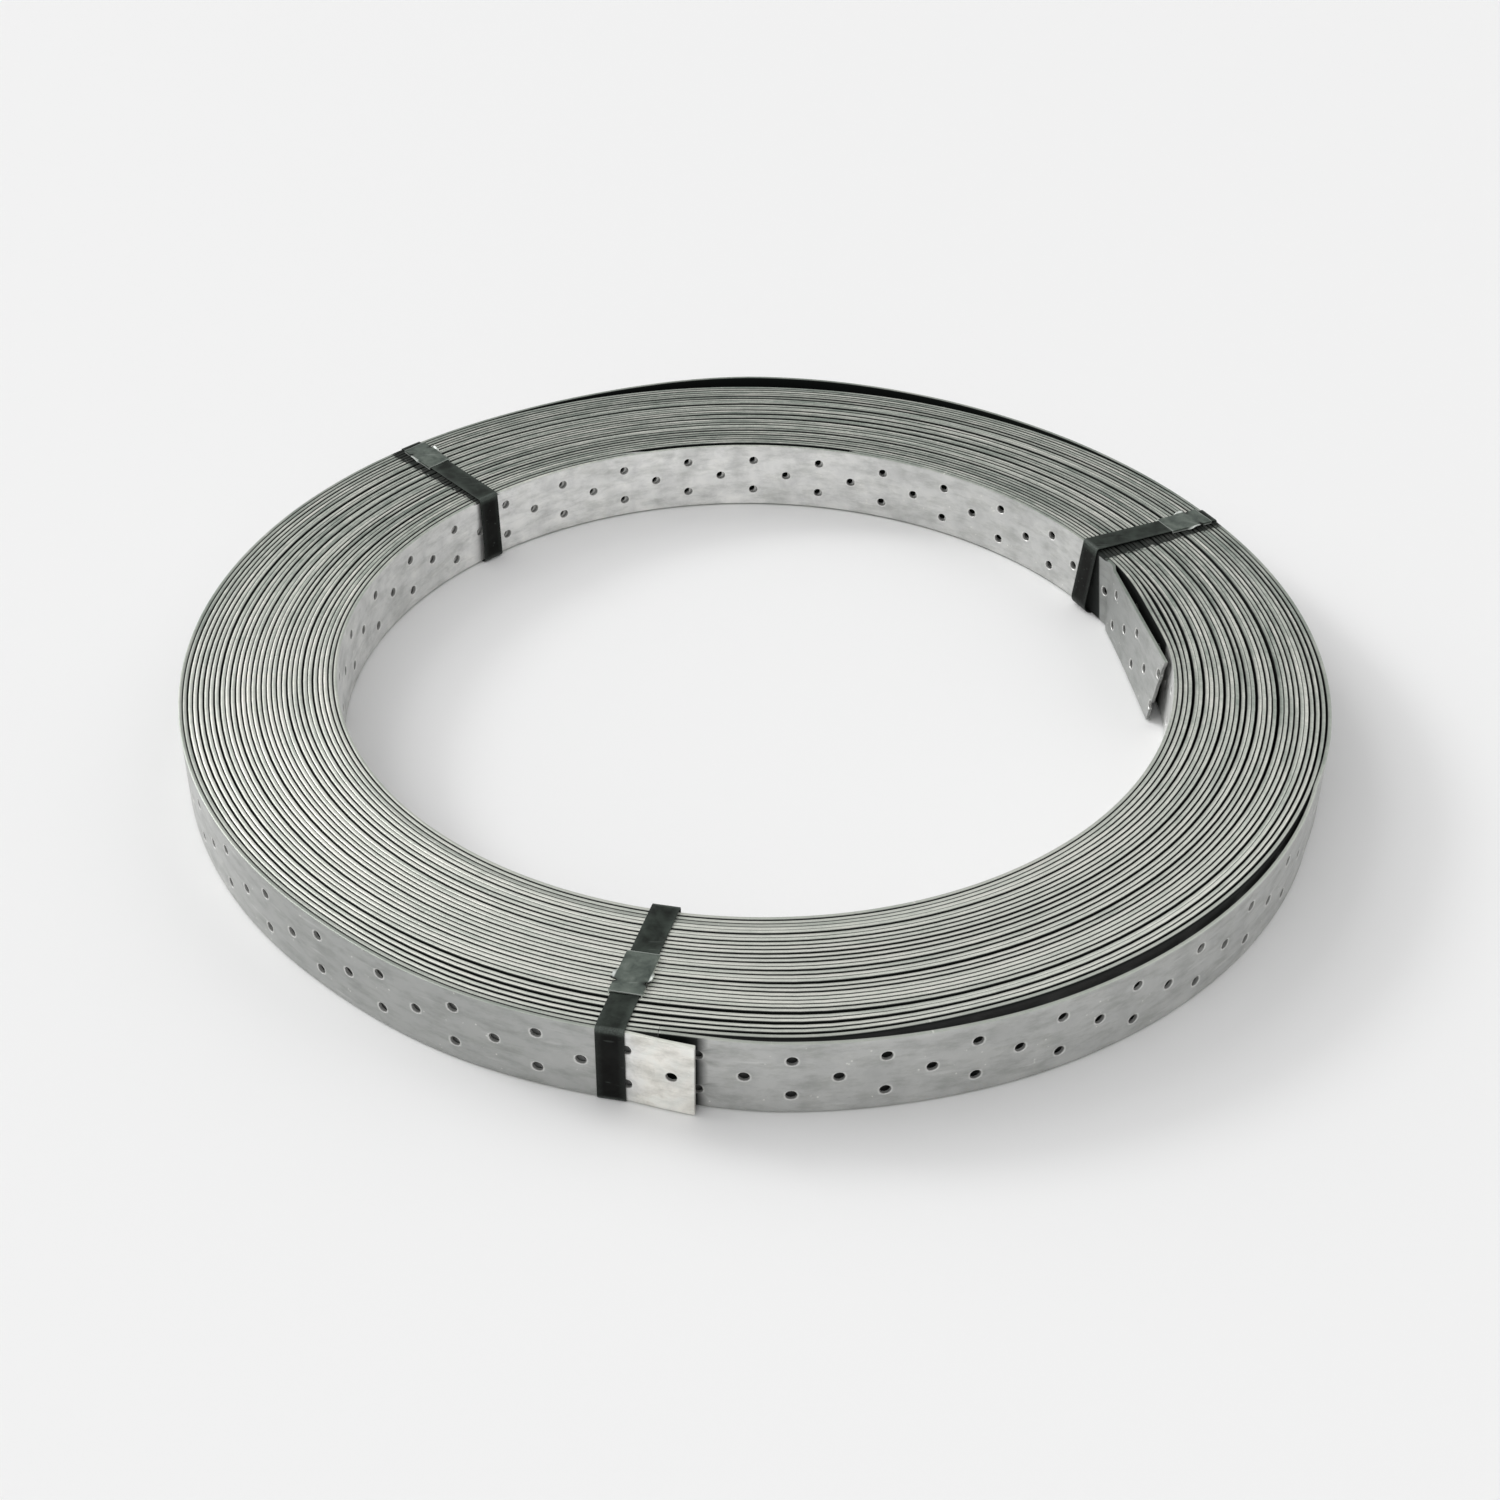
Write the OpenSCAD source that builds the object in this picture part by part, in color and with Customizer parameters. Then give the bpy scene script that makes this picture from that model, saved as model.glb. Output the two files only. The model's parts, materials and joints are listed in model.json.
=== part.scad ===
// Coil of perforated wind bracing strap: one galvanised steel strap wound flat on a round former,
// held by three steel packing bands. The coil lies on its side face and stands on the bands' undersides.

/* [Strap] */
// Width of the strap, which is the height of the coil
strap_w = 40; // [30:1:60]
// Thickness of the strap
strap_t = 2; // [1.5:0.1:3]
// Height of the rounded edge of the strap, on each face
edge_r = 0.4; // [0.2:0.05:0.6]

/* [Winding] */
// Inner diameter of the coil
bore_d = 435; // [380:5:500]
// Number of turns wound tight under the loose outer lap
turns = 30; // [20:1:36]
// Mean gap between one turn and the next
turn_gap = 0.66; // [0.5:0.02:1.2]
// Largest shift of a turn to one side, which opens and closes the gaps between turns
turn_wander = 0.17; // [0:0.01:0.2]
// Depth to which the gap between two turns shows on the side faces
gap_depth = 3; // [1:0.5:4]

/* [Nail holes] */
// Diameter of a nail hole
hole_d = 5; // [3:0.5:6]
// Distance along the strap from one column of holes to the next
hole_pitch = 20; // [16:1:30]
// Distance across the strap from the middle row to each outer row
row_gap = 10; // [8:0.5:12]

/* [Loose outer lap] */
// Angle at which the strap leaves the tight turns
lap_start = -97.5; // [-110:0.5:-90]
// Height of the slack at the front right
slack_front = 5.4; // [1:0.2:12]
// Height of the slack at the right side
slack_side = 0.8; // [0:0.2:6]
// Height of the slack at the back
slack_back = 12; // [1:0.2:16]
// Clearance under the lap where it lies tight
lap_gap = 0.35; // [0.2:0.05:0.8]
// Angle over which the lap climbs out of the outermost tight turn
lap_climb = 10; // [6:1:16]
// Length of the free tail past the front band
tail_l = 27; // [15:1:60]
// Height to which the end of the tail springs off
tail_lift = 5.8; // [1:0.2:10]

/* [Inner free end] */
// Angle of the middle of the straight inner end
chord_mid = 10; // [6:0.2:11]
// Half of the angle that the straight inner end spans
chord_half = 12.5; // [6:0.5:13]
// Slope of the cut at the inner end, along the strap
chord_slant = 2; // [0:1:14]
// Distance from the cut to the first column of holes in the inner end
chord_hole = 6; // [5:1:14]
// Angle between the inner end and the nearest columns of holes in the bore
bore_hole_margin = 4.8; // [4:0.2:8]

/* [Packing bands] */
// Width of a packing band
band_w = 13; // [10:0.5:16]
// Thickness of a packing band
band_t = 0.5; // [0.4:0.1:0.9]
// Angle of the front band
front_angle = -100.8; // [-104:0.2:-98]
// Angle of the band at the back left
left_angle = 135; // [133:1:150]
// Angle of the band at the back right
right_angle = 28.6; // [28:0.2:34]
// Distance that the front band's foot stands off the bore wall
front_stand_off = 1; // [0:0.5:8]
// Distance that the foot of the back left band stands off the bore wall
left_stand_off = 1.5; // [0:0.5:8]
// Distance that the foot of the back right band stands off the bore wall
right_stand_off = 5; // [0:0.5:8]

/* [Seals] */
// Length of a crimped seal
seal_l = 27; // [20:1:34]
// Width of a crimped seal
seal_w = 16; // [14:0.5:20]
// Thickness of the sheet that a seal is pressed from
seal_t = 0.8; // [0.6:0.1:1.2]
// Width of a crimp notch in the side of a seal
notch_w = 5; // [3:0.5:6]
// Depth of a crimp notch
notch_depth = 1.2; // [0.6:0.1:1.4]
// Distance from the middle of the front seal to the coil's outer wall
front_seal_inset = 34; // [20:1:60]
// Distance from the middle of each back seal to the coil's outer wall
back_seal_inset = 18; // [17:1:60]

/* [Fits] */
// Clearance between a band and the strap, and between a seal and its band
seat_gap = 0.3; // [0.1:0.05:0.4]

/* [Hidden] */
$fn = 96;

// The gap between two turns follows the golden angle, so no two neighbours are alike
golden_angle = 137.5;
// Angle from one corner of the lap's outline to the next
lap_step = 2;
// Depth to which the lap's start is bedded in the outermost tight turn
lap_bed = 0.15;
// Each slack of the lap as [start, peak, end, height, power of the rise, power of the fall],
// with the angles in degrees past lap_start
SLACKS = [
    [0, 32, 74.5, slack_front, 1.65, 0.8],
    [74.5, 86, 122, slack_side, 1, 1.6],
    [122.5, 187.5, 230, slack_back, 2, 2.4]
];
// Small overrun of a cutting shape past the face that it cuts
cut = 0.5;
// Distance by which the inner end stops short of touching the turn behind it
chord_clear = 1;

bore_r = bore_d / 2;
turn_pitch = strap_t + turn_gap;
turns_r = bore_r + (turns - 1) * turn_pitch + strap_t;
coil_z = band_t + seat_gap;
// Inner bend radius of a band: the sharpest that still clears the strap's corner
band_bend = 3 * seat_gap;
// Points along the arc of a bend in a band
bend_steps = 8;
// Angle at which the lap comes out from under the front band for the second time
tail_base = front_angle + 360 - lap_start + band_half_angle();
tail_start = ceil(tail_base / lap_step) * lap_step;
lap_end = tail_base + tail_l / turns_r * 180 / PI;

STRAP_COLOUR = [0.72, 0.74, 0.72];
BAND_COLOUR = [0.16, 0.17, 0.16];
SEAL_COLOUR = [0.42, 0.46, 0.43];

// Half of the angle that a band covers on the outer wall
function band_half_angle() = asin(band_w / 2 / turns_r);

// Height of one slack at an angle: it rises from its start to its peak and falls to its end
function slack(one, angle) =
    angle <= one[0] || angle >= one[2] ? 0 :
    angle < one[1] ? one[3] * sin(90 * pow((angle - one[0]) / (one[1] - one[0]), one[4])) :
    one[3] * sin(90 * pow((one[2] - angle) / (one[2] - one[1]), one[5]));

function all_slack(angle) = slack(SLACKS[0], angle) + slack(SLACKS[1], angle) + slack(SLACKS[2], angle);

// Height to which the tail has sprung off at an angle
function tail_spring(angle) =
    angle > tail_start ? tail_lift * pow((angle - tail_start) / (lap_end - tail_start), 1.4) : 0;

// Depth by which the lap still lies inside the outermost tight turn, near its start
function lap_sink(angle) = (strap_t + lap_bed + lap_gap) * pow(max(0, 1 - angle / lap_climb), 2);

// Radius of the lap's inner face in its first full turn, at an angle past lap_start
function first_r(angle) = turns_r + lap_gap - lap_sink(angle) + all_slack(angle);

// Radius of the lap's inner face, whose tail passes over the lap's own start
function lap_r(angle) =
    angle <= 360 ? first_r(angle) :
    max(turns_r, first_r(angle - 360) + strap_t) + lap_gap + tail_spring(angle);

// Slope of the lap against the circle
function lap_slope(angle) =
    atan((lap_r(angle + cut) - lap_r(angle - cut)) / (2 * cut * PI / 180 * lap_r(angle)));

function polar(r, angle) = [r * cos(angle), r * sin(angle)];

LAP_ANGLES = [for (a = [0:lap_step:lap_end - lap_step / 2]) a, lap_end];
LAP_INNER = [for (a = LAP_ANGLES) polar(lap_r(a), lap_start + a)];
LAP_OUTER = [
    for (a = LAP_ANGLES)
        polar(lap_r(a), lap_start + a) + polar(strap_t, lap_start + a - lap_slope(a))
];
// The middle of the lap's outline, which is put on the origin
middle = [
    (max([for (p = LAP_OUTER) p.x]) + min([for (p = LAP_OUTER) p.x])) / 2,
    (max([for (p = LAP_OUTER) p.y]) + min([for (p = LAP_OUTER) p.y])) / 2
];

// Radius at which a turn starts, counted from 0 at the bore
function turn_r(i) =
    bore_r + i * turn_pitch + (i == 0 || i == turns - 1 ? 0 : turn_wander * sin(i * golden_angle));

// Section of one side face from the bore to the outer wall: rounded strap edges with gaps between them
function face_points(z, up) = [
    for (i = [0:turns - 1]) each [
        if (i > 0) [turn_r(i), z - up * gap_depth],
        [turn_r(i), z - up * edge_r],
        [turn_r(i) + edge_r, z],
        [turn_r(i) + strap_t - edge_r, z],
        [turn_r(i) + strap_t, z - up * edge_r],
        if (i < turns - 1) [turn_r(i) + strap_t, z - up * gap_depth]
    ]
];

module tight_turns() {
    bottom = face_points(0, -1);
    rotate_extrude()
        polygon(concat(
            [for (i = [len(bottom) - 1:-1:0]) bottom[i]],
            face_points(strap_w, 1)
        ));
}

// One column of the hole pattern, along +X: a pair of outer holes or the single middle one
module hole_column(index, depth) {
    for (row = index % 2 == 0 ? [-1, 1] : [0])
        translate([-cut, 0, strap_w / 2 + row * row_gap])
            rotate([0, 90, 0])
                cylinder(d = hole_d, h = depth, $fn = 32);
}

module lap_strip() {
    linear_extrude(height = strap_w)
        polygon(concat(LAP_OUTER, [for (i = [len(LAP_INNER) - 1:-1:0]) LAP_INNER[i]]));
}

// Nail holes through the lap, square to the strap, in columns counted from the tail's end
module lap_holes() {
    step = hole_pitch / (turns_r + strap_t / 2) * 180 / PI;
    for (i = [0:floor((lap_end - step / 2) / step)]) {
        angle = lap_end - (i + 0.5) * step;
        translate(polar(lap_r(angle), lap_start + angle))
            rotate([0, 0, lap_start + angle - lap_slope(angle)])
                hole_column(i + 1, strap_t + 2 * cut);
    }
}

// Nail holes one turn deep in the wall of the bore, all round it but behind the inner end
module bore_holes() {
    step = hole_pitch / bore_r * 180 / PI;
    first = chord_mid + chord_half + bore_hole_margin;
    for (i = [0:floor((360 - 2 * (chord_half + bore_hole_margin)) / step)])
        rotate([0, 0, first + i * step])
            translate([bore_r, 0, 0])
                hole_column(i, turn_pitch + cut);
}

// The strap's straight inner end, cut off at a slope
module inner_end() {
    half = bore_r * sin(chord_half);
    reach = half + strap_t / tan(chord_half);
    columns = floor((2 * half - chord_hole - hole_d) / hole_pitch);
    rotate([0, 0, chord_mid])
        translate([bore_r * cos(chord_half) - strap_t, 0, 0])
            difference() {
                rotate([90, 0, 90])
                    linear_extrude(height = strap_t)
                        polygon([
                            [-half + chord_clear + chord_slant, 0],
                            [reach, 0],
                            [reach, strap_w],
                            [-half + chord_clear, strap_w]
                        ]);
                for (i = [0:columns])
                    translate([0, -half + chord_hole + i * hole_pitch, 0])
                        hole_column(i, strap_t + 2 * cut);
            }
}

module strap_coil() {
    color(STRAP_COLOUR)
        translate([-middle.x, -middle.y, coil_z]) {
            difference() {
                union() {
                    tight_turns();
                    lap_strip();
                }
                lap_holes();
                bore_holes();
            }
            inner_end();
        }
}

// Radius of the coil's outer wall under a band
function wall_r(angle) =
    lap_r(angle - lap_start < 0 ? angle - lap_start + 360 : angle - lap_start) + strap_t;

function unit(v) = v / norm(v);

// The arc of a given radius that rounds off one corner of an outline, which runs anticlockwise
function bend_points(before, corner, after, radius) =
    let (
        back = unit(before - corner),
        on = unit(after - corner),
        half = acos(back * on) / 2,
        centre = corner + unit(back + on) * radius / sin(half),
        start = corner + back * radius / tan(half) - centre,
        first = atan2(start.y, start.x)
    ) [
        for (i = [0:bend_steps])
            let (angle = first + i * (180 - 2 * half) / bend_steps)
            centre + radius * [cos(angle), sin(angle)]
    ];

// The outline of a band round the coil's section, whose foot stands off the bore wall
module band_outline(low, high, stand_off, bend) {
    foot = [low.x - stand_off, low.y];
    foot_out = [high.x, low.y];
    top_in = [low.x, high.y];
    polygon(concat(
        bend_points(top_in, foot, foot_out, bend + stand_off),
        bend_points(foot, foot_out, high, bend),
        bend_points(foot_out, high, top_in, bend),
        bend_points(high, top_in, foot, bend)
    ));
}

// A band round the coil's section, with its lapped ends on top
module packing_band(angle, seal_inset, stand_off) {
    outer = wall_r(angle) + seat_gap;
    inner = sqrt(pow(bore_r - seat_gap, 2) - pow(band_w / 2, 2));
    top = coil_z + strap_w + seat_gap;
    place_on_coil(angle)
        translate([0, band_w / 2, 0])
            rotate([90, 0, 0])
                linear_extrude(height = band_w) {
                    difference() {
                        band_outline(
                            [inner - band_t, 0], [outer + band_t, top + band_t], stand_off, band_bend + band_t
                        );
                        band_outline([inner, band_t], [outer, top], stand_off, band_bend);
                    }
                    translate([outer - seal_inset - seal_l / 2, top + band_t])
                        square([seal_l, band_t]);
                }
}

module place_on_coil(angle) {
    translate([-middle.x, -middle.y, 0])
        rotate([0, 0, angle])
            children();
}

// A crimped seal: a pressed channel over the band's lapped ends, notched on both sides
module crimp_seal(angle, seal_inset) {
    base = coil_z + strap_w + seat_gap;
    height = 2 * band_t + seat_gap + seal_t;
    inside = seal_w - 2 * seal_t;
    place_on_coil(angle)
        translate([wall_r(angle) + seat_gap - seal_inset - seal_l / 2, -seal_w / 2, base])
            difference() {
                cube([seal_l, seal_w, height]);
                translate([-cut, seal_t, -cut])
                    cube([seal_l + 2 * cut, inside, height - seal_t + cut]);
                for (x = [seal_l / 4, seal_l * 3 / 4], y = [-cut, seal_w - notch_depth])
                    translate([x - notch_w / 2, y, -cut])
                        cube([notch_w, notch_depth + cut, height + 2 * cut]);
            }
}

module band_front() { color(BAND_COLOUR) packing_band(front_angle, front_seal_inset, front_stand_off); }
module band_back_left() { color(BAND_COLOUR) packing_band(left_angle, back_seal_inset, left_stand_off); }
module band_back_right() { color(BAND_COLOUR) packing_band(right_angle, back_seal_inset, right_stand_off); }
module seal_front() { color(SEAL_COLOUR) crimp_seal(front_angle, front_seal_inset); }
module seal_back_left() { color(SEAL_COLOUR) crimp_seal(left_angle, back_seal_inset); }
module seal_back_right() { color(SEAL_COLOUR) crimp_seal(right_angle, back_seal_inset); }

strap_coil();
band_front();
band_back_left();
band_back_right();
seal_front();
seal_back_left();
seal_back_right();
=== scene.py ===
import json
import math
import random

import bmesh
import bpy
from mathutils import Matrix, Vector, noise


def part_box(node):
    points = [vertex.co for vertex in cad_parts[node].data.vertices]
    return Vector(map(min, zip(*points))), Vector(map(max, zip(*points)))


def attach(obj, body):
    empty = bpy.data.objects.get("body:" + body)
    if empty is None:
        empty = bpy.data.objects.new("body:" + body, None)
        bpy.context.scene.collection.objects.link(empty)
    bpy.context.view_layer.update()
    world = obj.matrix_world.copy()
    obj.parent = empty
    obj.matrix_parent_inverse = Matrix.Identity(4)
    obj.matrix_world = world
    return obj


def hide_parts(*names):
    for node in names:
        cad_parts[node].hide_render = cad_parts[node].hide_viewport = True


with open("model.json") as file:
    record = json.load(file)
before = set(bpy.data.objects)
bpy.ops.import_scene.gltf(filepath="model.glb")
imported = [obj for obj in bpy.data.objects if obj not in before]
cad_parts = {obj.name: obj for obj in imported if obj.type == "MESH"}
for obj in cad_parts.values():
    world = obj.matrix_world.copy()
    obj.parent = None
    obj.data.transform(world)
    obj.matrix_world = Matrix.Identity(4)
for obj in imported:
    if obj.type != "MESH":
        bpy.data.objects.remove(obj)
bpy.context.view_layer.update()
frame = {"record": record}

# ---------------------------------------------------------------------------------------------------
# The wound turns: one galvanised steel strap, 40 x 2 mm with rounded edges, wound flat on a former.
# A grid is wrapped round the strap's section and wound at the radius of each turn. Small shifts from
# turn to turn open and close the gaps that show on the side faces.
MM = 0.001
TOLERANCE = 0.01 * MM
STRAP_W = 40 * MM
STRAP_T = 2 * MM
EDGE_ROUND = 0.45 * MM
BORE_R = 217.5 * MM
TURN_PITCH = 2.66 * MM
TURNS = 30
TURNS_R = BORE_R + (TURNS - 1) * TURN_PITCH + STRAP_T
WOUND_MID_R = (BORE_R + TURNS_R) / 2
eye_box = frame["record"]["physics"]["openings"][0]["box_m"]
AXIS = Vector([(eye_box[0][i] + eye_box[1][i]) / 2 for i in (0, 1)] + [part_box("strap_coil")[0][2]])
COIL_TOP = AXIS.z + STRAP_W

# Angles are counted along the strap in degrees, from the right-hand side, and go on past 360. The
# straight inner end bends into the first turn at BEND_END, and the loose lap starts at LAP_FIRST.
BEND_END = 22.5
LAP_START = 262.5
LAP_FIRST = LAP_START + (TURNS - 1) * 360
FRONT_ANGLE = -100.8
LEFT_ANGLE = 135
RIGHT_ANGLE = 28.6

TURN_WANDER = 0.5 * MM
EDGE_WANDER = 0.2 * MM
KNOTS_A_TURN = 5
LEAST_GAP = 0.03 * MM


def wander_knots():
    """Shifts of the radius and the height at a few knots a turn, the least at the front left. Many
    turns lie close on the turn inside them, and other gaps stand open.
    """
    random.seed(41)
    shifts, rises = [], []
    for knot in range(KNOTS_A_TURN * (TURNS + 4)):
        turn = knot / KNOTS_A_TURN
        room = min(1, 0.3 + turn / 4, max(0.3, (TURNS - turn) / 3)) * TURN_WANDER
        calmer = 0.4 if (knot - 1) % KNOTS_A_TURN == 3 else 1
        shift = random.choice((-1, -0.6, 0, 0.6, 1)) * room * calmer
        if knot >= KNOTS_A_TURN:
            below = shifts[knot - KNOTS_A_TURN] - (TURN_PITCH - STRAP_T) + LEAST_GAP
            shift = max(shift, below)
        shifts.append(shift)
        rises.append(random.uniform(-1, 1) * EDGE_WANDER)
    return shifts, rises


shift_knots, rise_knots = wander_knots()


def smooth(share):
    share = min(1, max(0, share))
    return share * share * (3 - 2 * share)


def between_knots(knots, angle):
    place = max(0, angle / 360 * KNOTS_A_TURN + 1)
    last = int(place)
    return knots[last] + (knots[last + 1] - knots[last]) * smooth(place - last)


def patch(angle, middle, spread, flat=1.6):
    """A share that is 1 around a middle angle and falls softly to 0 on both sides of it."""
    return smooth(flat - abs((angle - middle + 180) % 360 - 180) / spread)


SWELL = 2.2 * MM
SAG = 2.2 * MM
SAG_START = -3
SPIRAL_PITCH = 2.612 * MM
SLIPPED = 0.6 * MM


def swell(angle):
    """The outer turns bulge where the strap's last end is bound down."""
    return SWELL * patch(angle, FRONT_ANGLE, 20)


def sag(angle):
    """The innermost turns hang in a little behind the strap's straight end."""
    place = (angle + 180) % 360 - 180
    if not SAG_START < place < BEND_END or angle < 180:
        return 0
    share = (place - SAG_START) / (BEND_END - SAG_START)
    return SAG * math.sin(math.pi * share) ** 2 * smooth((1440 - angle) / 1080)


def turn_r(angle):
    """Radius of the strap's inner face in the tight winding: a spiral at the bore, and further out
    rings, each with a short step up to the next where the lap starts.
    """
    turn = angle / 360
    spiral = SPIRAL_PITCH * (angle - BEND_END) / 360
    place = (angle - LAP_START) / 360
    ring = TURN_PITCH * (math.floor(place) + smooth((place - math.floor(place)) * 24))
    ringed = smooth((turn - 8) / 14)
    calm = smooth((LAP_START / 360 + 28.6 - turn) / 0.5) * smooth((angle - BEND_END) / 60)
    wander = calm * between_knots(shift_knots, angle)
    bulge = swell(angle) * smooth((turn - 23) / 6) - sag(angle)
    return BORE_R + spiral * (1 - ringed) + ring * ringed + wander + bulge


def edge_rise(angle):
    """How far the strap rides up in the winding. The innermost turns have slipped down at the front."""
    front = patch(angle, 250, 45, 1.7) * smooth((1380 - angle) / 200)
    return between_knots(rise_knots, angle) * (1 - front) - SLIPPED * front


def polar(radius, angle):
    a = math.radians(angle)
    return Vector((radius * math.cos(a), radius * math.sin(a), 0))


# How deep the mouth of a gap is, how wide a gap stands fully open, and how the walls of holes are
# told from the faces and darkened with painted shade.
MOUTH_DEPTH = 3 * MM
OPEN_GAP = 1.1 * MM
FACE_MARGIN = 0.1 * MM
HOLE_SHADE = 0.4


def mark_faces(bm, points, hidden, dullness_and_shade_at):
    """Records for the finish how each point lies: its painted shade in a gap, on a slit edge, how far
    along, and how far it is dulled and painted darker as shade.

    points gives (along, height, depth) on the flat strap in the order of the vertices. hidden names
    the faces that lie against other turns, each with a function of the length that says how dark the
    painted shade in the gap is at its mouth and further in, and how far it reaches over the edge. The
    walls of the holes get painted shade too.
    """
    names = ("in_gap", "slit_edge", "along", "dull")
    in_gap, slit_edge, along, dull = [bm.verts.layers.float.new(name) for name in names]
    for v, (length, height, depth) in zip(bm.verts, points):
        from_edge = min(height, STRAP_W - height)
        for face, away in (("inner", depth), ("outer", STRAP_T - depth)):
            if face in hidden and away < STRAP_T / 2:
                at_mouth, further_in, reach = hidden[face](length)
                mouth = smooth(1 - (from_edge - EDGE_ROUND) / MOUTH_DEPTH)
                shade = mouth * at_mouth + (1 - mouth) * further_in
                v[in_gap] = max(v[in_gap], shade * max(0, 1 - away / reach))
        if from_edge > 2 * EDGE_ROUND and FACE_MARGIN < depth < STRAP_T - FACE_MARGIN:
            v[in_gap] = HOLE_SHADE
        v[slit_edge] = max(0, 1 - from_edge / EDGE_ROUND)
        v[along] = length
        v[dull] = dullness_and_shade_at(length)


# Painted shade for a face that lies against another turn; shut paints it fully dark.
def even_shade(at_mouth, further_in):
    return lambda length: (at_mouth, further_in, EDGE_ROUND)


shut = even_shade(1, 1)


def gap_shade(angle, least, most):
    """A wide gap gets painted shade as a black line, and a shut one as a thin grey line. The painted
    shade reaches least far at the left and furthest at the back.

    least and most are how far the dark reaches over the edge, in millimetres.
    """
    gap = turn_r(angle) - turn_r(angle - 360) - STRAP_T
    share = smooth(gap / OPEN_GAP)
    shade_spread = 1 - 0.45 * patch(angle, 205, 45) + 0.3 * patch(angle, 80, 60)
    return 1, 1, (least + (most - least) * share) * shade_spread * MM


def inner_shade(length):
    return gap_shade(math.degrees(length / WOUND_MID_R), 0.25, 0.75)


def outer_shade(length):
    return gap_shade(math.degrees(length / WOUND_MID_R) + 360, 0.16, 0.46)


def finish_mesh(name, bm, sharp=0.6):
    """Turns a bmesh into a piece: faces outward and smooth, with the corners kept sharp."""
    bmesh.ops.recalc_face_normals(bm, faces=bm.faces[:])
    for face in bm.faces:
        face.smooth = True
    for edge in bm.edges:
        edge.smooth = edge.calc_face_angle(0) < sharp
    mesh = bpy.data.meshes.new(name)
    bm.to_mesh(mesh)
    bm.free()
    piece = bpy.data.objects.new(name, mesh)
    bpy.context.scene.collection.objects.link(piece)
    return piece


def round_off(bm, geom, size, segments, affect="EDGES"):
    bmesh.ops.bevel(bm, geom=geom, offset=size, offset_type="OFFSET", segments=segments,
                    profile=0.5, affect=affect, material=-1)


def strap_section():
    """The strap's rounded section, as points (depth from the inner face, height) in order round it."""
    bm = bmesh.new()
    bmesh.ops.create_grid(bm, x_segments=1, y_segments=1, size=0.5)
    bmesh.ops.scale(bm, vec=(STRAP_T, STRAP_W, 1), verts=bm.verts[:])
    bmesh.ops.translate(bm, vec=(STRAP_T / 2, STRAP_W / 2, 0), verts=bm.verts[:])
    round_off(bm, bm.verts[:], EDGE_ROUND, 2, "VERTICES")
    bm.faces.ensure_lookup_table()
    points = [(v.co.x, v.co.y) for v in bm.faces[0].verts]
    bm.free()
    return points


def sunken_turns(length):
    """The innermost turns are darker at the front left."""
    angle = math.degrees(length / WOUND_MID_R)
    return 0.6 * smooth((1320 - angle) / 240) * patch(angle, 245, 30)


SPIN_STEP = 2.4


def wound_strip(name, start, end):
    """A grid wrapped round the strap's section and wound from one angle to another."""
    bm = bmesh.new()
    section = strap_section()
    steps = round((end - start) / SPIN_STEP)
    bmesh.ops.create_grid(bm, x_segments=steps, y_segments=len(section), size=0.5)
    points = []
    for v in bm.verts:
        angle = start + (end - start) * (v.co.x + 0.5)
        depth, height = section[round((v.co.y + 0.5) * len(section)) % len(section)]
        points.append((math.radians(angle) * WOUND_MID_R, height, depth))
        v.co = AXIS + polar(turn_r(angle) + depth, angle) + Vector((0, 0, height + edge_rise(angle)))
    # The gaps between the turns get painted shade on both faces.
    mark_faces(bm, points, {"inner": inner_shade, "outer": outer_shade}, sunken_turns)
    bmesh.ops.remove_doubles(bm, verts=bm.verts[:], dist=TOLERANCE)
    bmesh.ops.holes_fill(bm, edges=[e for e in bm.edges if e.is_boundary], sides=len(section))
    return finish_mesh(name, bm)


turns = wound_strip("wound_turns", 2 * 360 + RIGHT_ANGLE, LAP_FIRST - 360)

# ---------------------------------------------------------------------------------------------------
# Finish of the strap: hot-dip galvanised steel, dull grey with a faint cloudy mottle and fine scuffs.
# The colour and the roughness vary with the zinc, and fine grain lifts the surface a little. Painted
# shadow lies beside the bands, and painted shade where the turns meet and in the holes.


def new_material(name):
    material = bpy.data.materials.new(name)
    material.use_nodes = True
    return material, material.node_tree, material.node_tree.nodes["Principled BSDF"]


def add_node(tree, kind, **values):
    """Adds a node and sets its inputs: values are numbers, colours or another node's output."""
    node = tree.nodes.new("ShaderNode" + kind)
    for name, value in values.items():
        socket = next(i for i in node.inputs if i.name.replace(" ", "_") == name and i.enabled)
        if isinstance(value, bpy.types.NodeSocket):
            tree.links.new(value, socket)
        else:
            socket.default_value = value
    return node


def ramp(tree, factor, *stops):
    """A colour ramp through (position, colour) stops."""
    node = add_node(tree, "ValToRGB", Fac=factor)
    band = node.color_ramp
    while len(band.elements) < len(stops):
        band.elements.new(0.5)
    for element, (position, colour) in zip(band.elements, stops):
        element.position = position
        element.color = (*colour, 1)
    return node.outputs["Color"]


def blend(tree, factor, first, second, kind="MIX"):
    """Mixes two colours by a factor."""
    node = tree.nodes.new("ShaderNodeMix")
    node.data_type = "RGBA"
    node.blend_type = kind
    for socket, value in zip((node.inputs[0], node.inputs[6], node.inputs[7]), (factor, first, second)):
        if isinstance(value, bpy.types.NodeSocket):
            tree.links.new(value, socket)
        else:
            socket.default_value = value
    return node.outputs[2]


def math_node(tree, operation, first, second=0.0):
    node = tree.nodes.new("ShaderNodeMath")
    node.operation = operation
    for socket, value in zip(node.inputs, (first, second)):
        if isinstance(value, bpy.types.NodeSocket):
            tree.links.new(value, socket)
        else:
            socket.default_value = value
    return node.outputs[0]


def face_marks(tree, name):
    node = tree.nodes.new("ShaderNodeAttribute")
    node.attribute_name = name
    return node.outputs["Fac"]


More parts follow.
